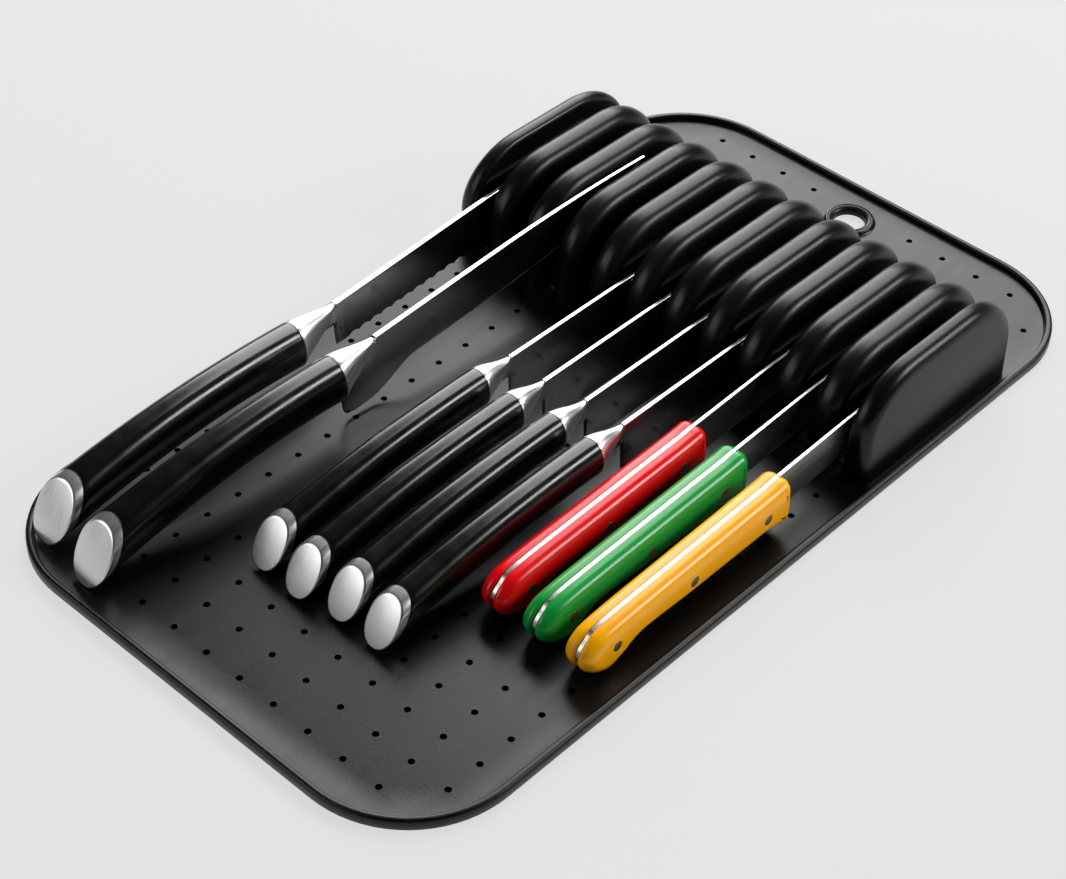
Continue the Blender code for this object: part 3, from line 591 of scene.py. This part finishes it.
def build_rib_block():
    base, top = RIB_BASE / 2, RIB_TOP / 2
    rib = object_from(rib_bmesh((-base, -top, RIB_ROUNDING), (base, top, RIB_ROUNDING)), "rib")
    ends = bmesh.new()
    for sign in (-1, 1):
        middle = sign * SLOT_COUNT / 2 * RIB_PITCH
        inner = (middle - sign * base, middle - sign * top, END_RIB_INNER_ROUNDING)
        outer = (inner[0] + sign * END_RIB_BASE, inner[1] + sign * END_RIB_TOP, END_RIB_OUTER_ROUNDING)
        left, right = (outer, inner) if sign < 0 else (inner, outer)
        take_in(ends, rib_bmesh(left, right), "end_rib")
    half = SLOT_COUNT / 2 * RIB_PITCH - base + END_RIB_BASE - WEB_END_INSET
    front, rear = RIB_FRONT + WEB_SETBACK, RIB_REAR - WEB_SETBACK
    rings = [[(sx * (half - inset), (front + rear) / 2 + sy * ((rear - front) / 2 - inset), z)
              for sx, sy in ((-1, -1), (1, -1), (1, 1), (-1, 1))]
             for inset, z in WEB_SECTION]
    loft(rings, ends)
    end_pieces = object_from(ends, "block_ends")
    tree, keys = rib_row_tree()
    row = rib.modifiers.new("Rib row", "NODES")
    row.node_group = tree
    row[keys["Ribs"]] = SLOT_COUNT - 1
    row[keys["Pitch"]] = RIB_PITCH * MM
    row[keys["Ends"]] = end_pieces
    row[keys["Material"]] = RUBBER
    mesh = evaluated_mesh(rib)
    bpy.data.objects.remove(rib)
    bpy.data.objects.remove(end_pieces)
    finish_piece("ribbed_block", mesh, RUBBER, "holder", ("rib_block",), sharp=50)


# ---------------------------------------------------------------- blades
def knife_place(slot, start_y, start_z, side_shift, yaw, nose_up):
    """Where the spine starts: X across the blade, Y towards its tip, Z up from its edge to its spine."""
    x = (slot - (SLOT_COUNT + 1) / 2) * RIB_PITCH + side_shift
    return (Matrix.Translation((x, start_y, MAT_THICKNESS + start_z))
            @ Matrix.Rotation(-radians(yaw), 4, "Z") @ Matrix.Rotation(radians(nose_up), 4, "X"))


def blade_ring(blade, spine, t, top_at=None):
    """Section at a share t of the blade's length: rounded spine, flat, grind and edge bevel."""
    y = blade["length"] * t
    top = blade["widening"] * max(t, 0)
    bottom = -blade["height"]
    if blade.get("heel_drop"):
        free = max(0.0, (y - blade["heel_length"] + blade["heel_back"]) / blade["heel_sweep"])
        bottom -= blade["heel_drop"] * (1 - ease(min(1.0, free)))
    if blade["tip"] == "round":
        near_tip = max(0.0, (t - 0.86) / 0.14)
        top -= (blade["height"] + blade["widening"]) * 0.62 * near_tip ** 2.2
    else:
        near_tip = max(0.0, (t - 0.45) / 0.55)
        top -= blade["height"] * 0.20 * near_tip ** 2
        bottom += blade["height"] * 0.78 * near_tip ** 2.4
    bevel = BEVEL
    if blade.get("scallop") and SCALLOP_START < y:
        fade = min(1.0, (y - SCALLOP_START) / 3)
        bottom += SCALLOP_DEPTH * abs(sin(pi * y / blade["scallop"])) * fade
        bevel = SCALLOP_BEVEL
    if top_at is not None:
        top = top_at
    half = spine / 2 * (1 - 0.55 * max(t, 0))
    depth = max(top - bottom, 0.4)
    soft = min(0.22, half * 0.3)
    bevel = min(bevel, depth * 0.3)
    section = ((half - soft, 0), (half - 0.3 * soft, 0.3 * soft), (half, soft), (half, 0.35 * depth),
               (0.3 * half + 0.12, depth - bevel), (0.05, depth))
    ring = [(x, y, top - down) for x, down in section]
    return ring + [(-x, y, z) for x, y, z in reversed(ring)]


def build_blade(blade, spine, place, tang_bottom=TANG_BOTTOM):
    """The blade with its root, which runs back under the bolster or between the scales."""
    rings = []
    if blade.get("heel_drop"):
        heel = -blade["heel_back"]
        for y in (heel, heel + 0.5, heel + 1.5, HEEL_ROOT_START, -8, -4, -0.5):
            top_at = tang_bottom if y < HEEL_ROOT_START else ROOT_TOP
            ring = blade_ring(blade, spine, y / blade["length"], top_at)
            lift = HEEL_LIFT * max(0.0, 1 - (y - heel) / HEEL_LIFT_REACH) ** 2
            low = min(z for x, _, z in ring)
            rings.append([(x, yy, z + (lift if z < low + 1.5 else 0)) for x, yy, z in ring])
    else:
        for y in (-10.0, -0.6):
            ring = blade_ring(blade, spine, y / blade["length"], ROOT_TOP)
            rings.append([(x, yy, max(z, tang_bottom)) for x, yy, z in ring])
        rings.append(blade_ring(blade, spine, -0.5 / blade["length"]))
    stations = 230 if blade.get("scallop") else 70
    for k in range(stations + 1):
        rings.append(blade_ring(blade, spine, k / stations))
    bm = loft(rings)
    bmesh.ops.transform(bm, matrix=place, verts=bm.verts)
    return bm


# ---------------------------------------------------------------- forged knives
def build_forged_knife(name, slot, style, blade, start_y, start_z, side_shift, yaw, nose_up):
    place = knife_place(slot, start_y, start_z, side_shift, yaw, nose_up)
    seam = -style["bolster"]
    face = -style["handle"]
    cap_seam = face + style["cap"]

    def line(t):
        """Top, height and width of the handle from the bolster's seam (0) to the butt (1)."""
        bow = 4 * t * (1 - t)
        top, height, width = (blend(a, b, t) for a, b in zip(style["seam"], style["butt"]))
        return top + style["arch"] * bow, height - style["waist"] * bow, width - style["waist"] * bow

    def handle_ring(y, slant, inset=0.0):
        top, height, width = line((seam - y) / (seam - face))
        return oval_ring(y, top, height, width, slant=slant, inset=inset)

    def placed(rings):
        bm = loft(rings)
        bmesh.ops.transform(bm, matrix=place, verts=bm.verts)
        return bm

    piece_from(build_blade(blade, style["spine"], place, style["tang_bottom"]), name + "_fine_blade",
               BLADE_STEEL, name, (name + "_blade",), sharp=14)

    # bolster: tapers from a slanted front round the spine to the oval seam
    _, full_height, full_width = line(0)
    rings = []
    for k in range(25):
        t = k / 24
        y = blend(BOLSTER_START, seam + 0.1, t)
        top = style["seam"][0] * ease(t) - 0.1
        height = blend(style["front"][0], full_height, t ** 0.8)
        width = blend(style["front"][1], full_width, t ** 0.9)
        slant = BOLSTER_SLANT * (1 - t)
        rings.append(oval_ring(y - height / 2 * tan(slant), top, height, width, power=blend(2.6, 2.3, t),
                               slant=slant, inset=0.12 if k in (0, 24) else 0))
    piece_from(placed(rings), name + "_fine_bolster", CAP_STEEL, name,
               (name + "_bolster",))

    # grip: one oval bar, cut square at the bolster and slanted at the cap
    rings = [handle_ring(seam - 0.1, 0.0, 0.18), handle_ring(seam - 0.25, 0.0, 0.04),
             handle_ring(seam - 0.5, 0.0)]
    for k in range(1, 40):
        t = k / 40
        slant = BUTT_SLANT * ease(max(0.0, t - 0.5) * 2)
        rings.append(handle_ring(blend(seam - 0.5, cap_seam + 0.5, t), slant))
    rings += [handle_ring(cap_seam + 0.5, BUTT_SLANT), handle_ring(cap_seam + 0.25, BUTT_SLANT, 0.04),
              handle_ring(cap_seam + 0.1, BUTT_SLANT, 0.18)]
    piece_from(placed(rings), name + "_fine_grip", ACETAL, name, (name + "_grip",))

    # end cap: rounded rim and a gently domed oval face
    rings = [handle_ring(cap_seam - 0.1, BUTT_SLANT, 0.14), handle_ring(cap_seam - 0.3, BUTT_SLANT)]
    for step in range(6):
        angle = pi / 2 * step / 5
        rings.append(handle_ring(face + CAP_ROUNDING * (1 - sin(angle)), BUTT_SLANT,
                                 CAP_ROUNDING * (1 - cos(angle))))
    top, height, width = line(1.0)
    for share in (0.85, 0.7, 0.5, 0.3, 0.1):
        rings.append(oval_ring(face - CAP_DOME * (1 - share ** 2),
                               top - height / 2 * (1 - share) - CAP_ROUNDING * share,
                               (height - 2 * CAP_ROUNDING) * share, (width - 2 * CAP_ROUNDING) * share,
                               slant=BUTT_SLANT))
    piece_from(placed(rings), name + "_fine_end_cap", CAP_STEEL, name,
               (name + "_end_cap",))


# ---------------------------------------------------------------- paring knives
# outline of the handle in side view, anticlockwise: (share of its length, height in millimetres)
PARING_SHAPE = ((0.0, -0.3), (-0.10, 0.0), (-0.50, 0.2), (-0.86, 0.0), (-0.955, -2.3), (-0.995, -8.0),
                (-0.965, -14.6), (-0.895, -18.4), (-0.815, -16.6), (-0.73, -13.6), (-0.50, -15.0),
                (-0.25, -15.9), (-0.10, -16.6), (-0.02, -18.6), (0.012, -16.0), (0.020, -8.0))


def smooth_outline(points, steps):
    """A closed Catmull-Rom curve through the points."""
    count = len(points)
    outline = []
    for k in range(count):
        before, start, end, after = (Vector(points[(k + j) % count]) for j in (-1, 0, 1, 2))
        for step in range(steps):
            t = step / steps
            bend = 2 * before - 5 * start + 4 * end - after
            twist = -before + 3 * start - 3 * end + after
            outline.append(0.5 * (2 * start + (end - before) * t + bend * t ** 2 + twist * t ** 3))
    return outline


def shrink(outline, inset):
    """The closed outline (anticlockwise in (y, z) when seen from +X) moved inwards by inset."""
    count = len(outline)
    moved = []
    for k, point in enumerate(outline):
        along = (outline[(k + 2) % count] - outline[k - 2]).normalized()
        moved.append(point + inset * Vector((-along.y, along.x)))
    return moved


def butt_share(point):
    """0 along the handle, rising to 1 round its butt."""
    return ease(min(1.0, max(0.0, (-point.x / PARING_LENGTH - 0.90) / 0.06)))


def scale_bmesh(outline, inner, outer, rounding, steps=8):
    """A handle scale: flat inside, with its outer edge rolled over by the rounding. Round the butt its
    inner edge rolls over too, so that the two scales end as lobes with a groove between them."""
    sign = 1 if outer > inner else -1
    section = [(inner, 1.0), (inner + sign * 0.1, 0.62), (inner + sign * 0.35, 0.3),
               (inner + sign * 0.75, 0.1), (inner + sign * 1.2, 0.0)]
    rings = []
    for x, depth in section:
        ring = []
        for point, moved in zip(outline, shrink(outline, 1.0)):
            inset = depth * blend(SEAM_ROUNDING, LOBE_ROUNDING, butt_share(point))
            place = point + inset * (moved - point)
            ring.append((blend(blend(inner, x, 0.3), x, butt_share(point)), place.x, place.y))
        rings.append(ring)
    for step in range(steps + 1):
        angle = pi / 2 * step / steps
        x, inset = outer - sign * rounding * (1 - sin(angle)), rounding * (1 - cos(angle))
        if abs(x - inner) > 1.3:
            rings.append([(x, point.x, point.y) for point in shrink(outline, inset)])
    return loft(rings)


def rivet_tree():
    """Sets the object, a rivet through the handle, at evenly spaced places along it."""
    tree, given, keys = new_geometry_tree("Handle rivets", (("First", "Vector"), ("Last", "Vector"),
                                                            ("Count", "Int"), ("Material", "Material")))
    line = add(tree, "GeometryNodeMeshLine", {"Count": given["Count"], "Start Location": given["First"],
                                              "Offset": given["Last"]}, mode="END_POINTS")
    heads = add(tree, "GeometryNodeInstanceOnPoints", {"Points": line.outputs[0],
                                                       "Instance": given["Geometry"]})
    solid = add(tree, "GeometryNodeRealizeInstances", {"Geometry": heads.outputs[0]})
    finish_geometry_tree(tree, solid.outputs[0], given["Material"])
    return tree, keys


RIVET_TREE, RIVET_KEYS = rivet_tree()


def build_paring_knife(name, slot, start_y, start_z, side_shift, yaw, nose_up, plastic):
    place = knife_place(slot, start_y, start_z, side_shift, yaw, nose_up)
    outline = smooth_outline([(along * PARING_LENGTH, z) for along, z in PARING_SHAPE], 6)
    half_tang, half_width = PARING_TANG / 2, PARING_WIDTH / 2

    for side, inner, outer in (("left", -half_tang, -half_width), ("right", half_tang, half_width)):
        bm = scale_bmesh(outline, inner, outer, PARING_ROUNDING)
        bmesh.ops.transform(bm, matrix=place, verts=bm.verts)
        piece_from(bm, f"{name}_fine_{side}_scale", plastic, name,
                   (f"{name}_{side}_scale",), sharp=40)

    # blade and full tang, which lies deeper between the scales round the butt
    bm = build_blade(PARING_BLADE, PARING_TANG - 0.1, place)
    drawn_in = [point + blend(0.0, TANG_SETBACK, butt_share(point)) * (moved - point)
                for point, moved in zip(outline, shrink(outline, 1.0))]
    tang = loft([[(x, point.x, point.y) for point in shrink(drawn_in, inset)]
                 for x, inset in ((-half_tang + 0.02, 0.3), (-half_tang + 0.15, 0.15),
                                  (half_tang - 0.15, 0.15), (half_tang - 0.02, 0.3))])
    bmesh.ops.transform(tang, matrix=place, verts=tang.verts)
    take_in(bm, tang, "tang")
    piece_from(bm, name + "_fine_blade", TANG_STEEL, name, (name + "_blade",), sharp=14)

    # rivets: through-bars with slightly domed, ringed heads
    head = [(half_width + rise, radius) for radius, rise in RIVET_HEAD]
    bar = [(-x, radius) for x, radius in head] + list(reversed(head))
    bm = loft([[(x, radius * cos(2 * pi * k / RIVET_SIDES), radius * sin(2 * pi * k / RIVET_SIDES))
                for k in range(RIVET_SIDES)] for x, radius in bar])
    bmesh.ops.recalc_face_normals(bm, faces=bm.faces)
    bmesh.ops.transform(bm, matrix=place.to_3x3().to_4x4(), verts=bm.verts)
    rivet = object_from(bm, name + "_rivet")
    setting = rivet.modifiers.new("Rivets", "NODES")
    setting.node_group = RIVET_TREE
    for key, share in (("First", RIVET_AT[0]), ("Last", RIVET_AT[-1])):
        setting[RIVET_KEYS[key]] = place @ Vector((0, -share * PARING_LENGTH, -RIVET_DROP)) * MM
    setting[RIVET_KEYS["Count"]] = len(RIVET_AT)
    setting[RIVET_KEYS["Material"]] = RIVET_BRASS
    mesh = evaluated_mesh(rivet)
    bpy.data.objects.remove(rivet)
    finish_piece(name + "_fine_rivets", mesh, RIVET_BRASS, name,
                 tuple(f"{name}_rivet_{k}" for k in (1, 2, 3)), sharp=30)


# ---------------------------------------------------------------- studio
# camera place in metres; azimuth, elevation and roll in degrees; lens in millimetres
CAMERA_PLACE, CAMERA_TURN, CAMERA_LENS = (0.4204, -0.4900, 0.5796), (41.70, 42.45, 2.04), 80.83
FLOOR_DROP = 0.0002


def build_floor():
    bpy.ops.mesh.primitive_plane_add(size=8.0, location=(0, 0, -FLOOR_DROP))
    floor = bpy.context.object
    floor.name = "studio_floor"
    floor.data.materials.append(studio_board())


def softbox(name, start, end, depth, radiance):
    """A panel that faces the object, from one edge's middle to the other's; its radiance is relative to
    a white board's."""
    start, end = Vector(start), Vector(end)
    middle, along = (start + end) / 2, end - start
    back = (middle - along * middle.dot(along) / along.length_squared).normalized()
    data = bpy.data.lights.new(name, "AREA")
    data.shape = "RECTANGLE"
    data.size, data.size_y = along.length, depth
    data.energy = radiance * pi * along.length * depth
    panel = linked(name, data)
    side = along.normalized()
    turn = Matrix((side, back.cross(side), back)).transposed().to_4x4()
    panel.matrix_world = Matrix.Translation(middle) @ turn


def light_studio():
    """A large panel behind on the left makes the wide soft bands, a bright strip on the right makes the
    thin lines, and a card in front lights the end caps."""
    world = bpy.data.worlds.new("dim_studio")
    world.use_nodes = True
    background = world.node_tree.nodes["Background"]
    background.inputs["Color"].default_value = linear("#ffffff")
    background.inputs["Strength"].default_value = 0.04
    bpy.context.scene.world = world
    softbox("back_left_softbox", (-1.66, 1.1, 0.42), (0.16, 1.1, 1.66), 1.0, 7.0)
    softbox("back_right_strip", (1.12, 1.1, 1.21), (1.42, 1.1, 0.84), 0.9, 17.0)
    softbox("front_left_card", (-0.95, -1.62, 0.42), (-0.62, -1.20, 1.15), 1.2, 2.6)


def aim_camera():
    azimuth, elevation, roll = (radians(angle) for angle in CAMERA_TURN)
    back = Vector((sin(azimuth) * cos(elevation), -cos(azimuth) * cos(elevation), sin(elevation)))
    level = Vector((cos(azimuth), sin(azimuth), 0))
    upright = back.cross(level)
    right = cos(roll) * level + sin(roll) * upright
    up = cos(roll) * upright - sin(roll) * level
    data = bpy.data.cameras.new("camera")
    data.sensor_width = 36
    data.lens = CAMERA_LENS
    camera = linked("camera", data)
    turn = Matrix((right, up, back)).transposed().to_4x4()
    camera.matrix_world = Matrix.Translation(CAMERA_PLACE) @ turn
    bpy.context.scene.camera = camera


bpy.context.scene.view_settings.view_transform = "Standard"
aim_camera()
light_studio()
build_floor()
build_mat()
build_rib_block()
for knife in FORGED_KNIVES:
    build_forged_knife(*knife)
for knife, plastic in zip(PARING_KNIVES, (RED, GREEN, YELLOW)):
    build_paring_knife(*knife, plastic)
